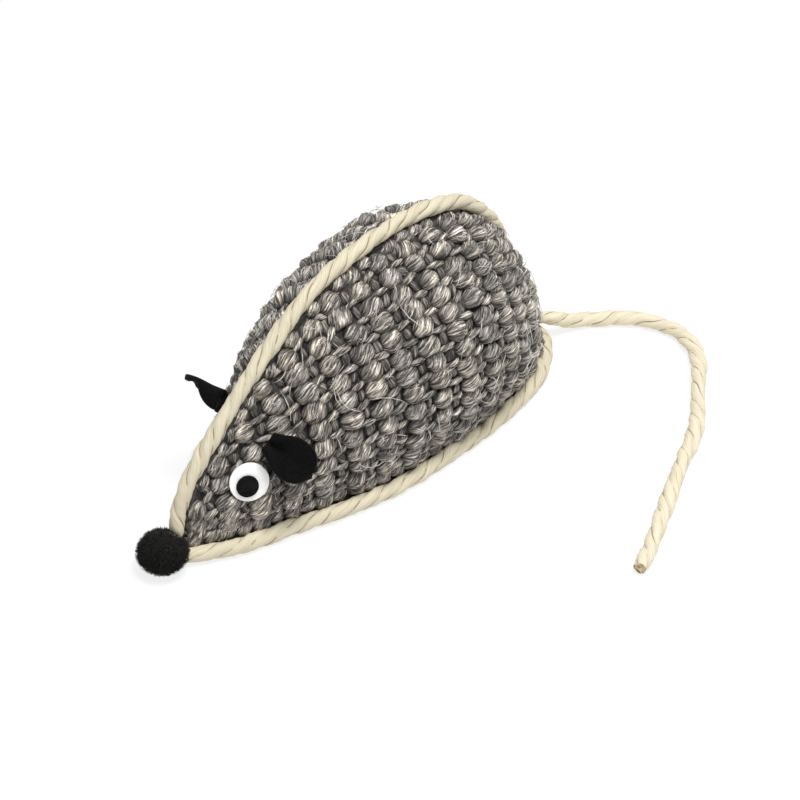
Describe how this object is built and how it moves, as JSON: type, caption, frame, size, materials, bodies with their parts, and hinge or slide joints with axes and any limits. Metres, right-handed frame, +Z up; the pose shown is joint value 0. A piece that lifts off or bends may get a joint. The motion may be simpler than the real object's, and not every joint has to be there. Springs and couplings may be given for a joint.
{
  "type": "catnip mouse",
  "caption": "Woven sisal toy mouse on a flat sole, with rope-covered seams, felt ears, a pompom nose, wobbling eyes and a rope tail for a cat to bat.",
  "frame": {"origin": "on the floor under the middle of the mouse, its free tail left out", "axes": "+X from nose to tail, the mouse's left side faces -Y, +Z up"},
  "size_m": [0.1697, 0.1182, 0.0623],
  "materials": {
    "sisal_cloth": "coarse woven",
    "paper_rope": "twisted, satin",
    "black_felt": "felted",
    "black_pompom": "fuzzy pile",
    "white_wadding": "loose fibre",
    "muslin": "plain weave",
    "eye_white": "gloss",
    "eye_black": "gloss",
    "eye_clear": "clear gloss"
  },
  "bodies": {
    "body": {"left_flank": "sisal_cloth", "right_flank": "sisal_cloth", "base_panel": "sisal_cloth", "front_stuffing": "white_wadding", "rear_stuffing": "white_wadding", "catnip_sachet": "muslin", "spine_rope": "paper_rope", "base_rope": "paper_rope", "nose_pompom": "black_pompom", "left_eye_backing": "eye_white", "left_eye_dome": "eye_clear", "right_eye_backing": "eye_white", "right_eye_dome": "eye_clear"},
    "left_ear": {"left_ear": "black_felt"},
    "right_ear": {"right_ear": "black_felt"},
    "left_pupil": {"left_eye_pupil": "eye_black"},
    "right_pupil": {"right_eye_pupil": "eye_black"},
    "tail": {"tail_rope": "paper_rope"}
  },
  "joints": [
    {"name": "left_ear_flap", "type": "hinge", "parent": "body", "child": "left_ear", "pos_m": [-0.03712, -0.00892, 0.02746], "axis": [-0.768, 0.0982, -0.6329], "range_deg": [-15, 60], "stiffness_Nm_per_rad": 0.0001},
    {"name": "right_ear_flap", "type": "hinge", "parent": "body", "child": "right_ear", "pos_m": [-0.03493, 0.01011, 0.02952], "axis": [-0.6187, 0.0001, 0.7857], "range_deg": [-35, 20], "stiffness_Nm_per_rad": 0.0001},
    {"name": "left_pupil_roll", "type": "hinge", "parent": "body", "child": "left_pupil", "pos_m": [-0.04351, -0.00807, 0.01874], "axis": [-0.4555, -0.8424, 0.2879], "continuous": true},
    {"name": "right_pupil_roll", "type": "hinge", "parent": "body", "child": "right_pupil", "pos_m": [-0.04265, 0.00934, 0.0155], "axis": [-0.41, 0.892, 0.1903], "continuous": true},
    {"name": "tail_swing", "type": "hinge", "parent": "body", "child": "tail", "pos_m": [0.06851, -0.0055, 0.00695], "axis": [0, 0, 1], "range_deg": [-30, 60]}
  ]
}
